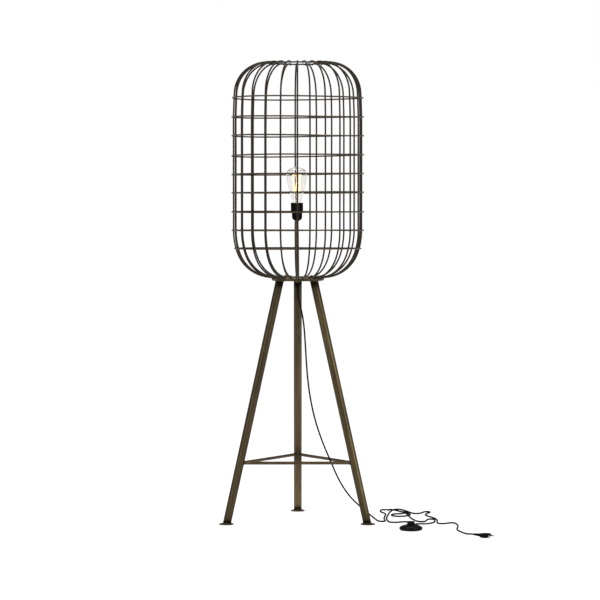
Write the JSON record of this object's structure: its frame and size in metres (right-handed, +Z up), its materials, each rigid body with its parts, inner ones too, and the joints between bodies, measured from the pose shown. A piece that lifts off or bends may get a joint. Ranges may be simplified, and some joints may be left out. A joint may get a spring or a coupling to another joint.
{
  "type": "floor lamp",
  "caption": "Floor lamp: drum-shaped open cage of bent wire round an upright filament bulb, on splayed tube legs with low braces, foot switch and mains cord.",
  "frame": {"origin": "on the floor under the middle of the lamp's bounding box, measured without the cord, switch and plug", "axes": "+Z up along the stem, -Y towards the front, where the brace between two legs faces, +X right"},
  "size_m": [0.81, 0.7548, 1.4071],
  "materials": {
    "cage_wire": "hand-rubbed dark brown-black patina, satin",
    "bronze_tube": "antique bronze patina, streaky, satin",
    "stem_metal": "dark antique finish",
    "bakelite": "black phenolic, semi-gloss",
    "ceramic": "white glazed ceramic core with a thin brass sleeve",
    "bulb_glass": "clear glass with a faint amber tint",
    "cap_brass": "plain",
    "mount_glass": "clear glass",
    "filament_wire": "warm carbon-style filament on thin supports",
    "cord_black": "black, low sheen",
    "switch_black": "glossy black",
    "plug_black": "satin black",
    "pin_metal": "nickel plate"
  },
  "bodies": {
    "lamp": {"rib_01": "cage_wire", "rib_02": "cage_wire", "rib_03": "cage_wire", "rib_04": "cage_wire", "rib_05": "cage_wire", "rib_06": "cage_wire", "rib_07": "cage_wire", "rib_08": "cage_wire", "rib_09": "cage_wire", "rib_10": "cage_wire", "rib_11": "cage_wire", "rib_12": "cage_wire", "rib_13": "cage_wire", "rib_14": "cage_wire", "rib_15": "cage_wire", "rib_16": "cage_wire", "rib_17": "cage_wire", "rib_18": "cage_wire", "rib_19": "cage_wire", "rib_20": "cage_wire", "rib_21": "cage_wire", "rib_22": "cage_wire", "rib_23": "cage_wire", "rib_24": "cage_wire", "hoop_1": "cage_wire", "hoop_2": "cage_wire", "hoop_3": "cage_wire", "hoop_4": "cage_wire", "hoop_5": "cage_wire", "hoop_6": "cage_wire", "hoop_7": "cage_wire", "hoop_8": "cage_wire", "hoop_9": "cage_wire", "top_ring": "cage_wire", "bottom_ring": "cage_wire", "leg_rear": "bronze_tube", "leg_left": "bronze_tube", "leg_right": "bronze_tube", "feet": "bronze_tube", "brace_front": "bronze_tube", "brace_left": "bronze_tube", "brace_right": "bronze_tube", "mounting_plate": "bronze_tube", "stem_tube": "stem_metal", "stem_nuts": "stem_metal", "cord_grip": "cord_black", "holder_cap": "bakelite", "holder_shell": "bakelite", "holder_insert": "ceramic", "lamp_cord": "cord_black", "plug_cord": "cord_black", "switch_base": "switch_black", "switch_cover": "switch_black", "plug_body": "plug_black", "plug_pins": "pin_metal"},
    "bulb": {"bulb_glass": "bulb_glass", "bulb_cap": "cap_brass", "bulb_mount": "mount_glass", "filament": "filament_wire"},
    "button": {"switch_button": "switch_black"}
  },
  "joints": [
    {"name": "bulb_out", "type": "slide", "parent": "lamp", "child": "bulb", "axis": [0, 0, 1], "range_m": [0, 0.035]},
    {"name": "button_press", "type": "slide", "parent": "lamp", "child": "button", "axis": [0, 0, -1], "range_m": [0, 0.003], "stiffness_N_per_m": 900, "springref_m": -0.002}
  ]
}
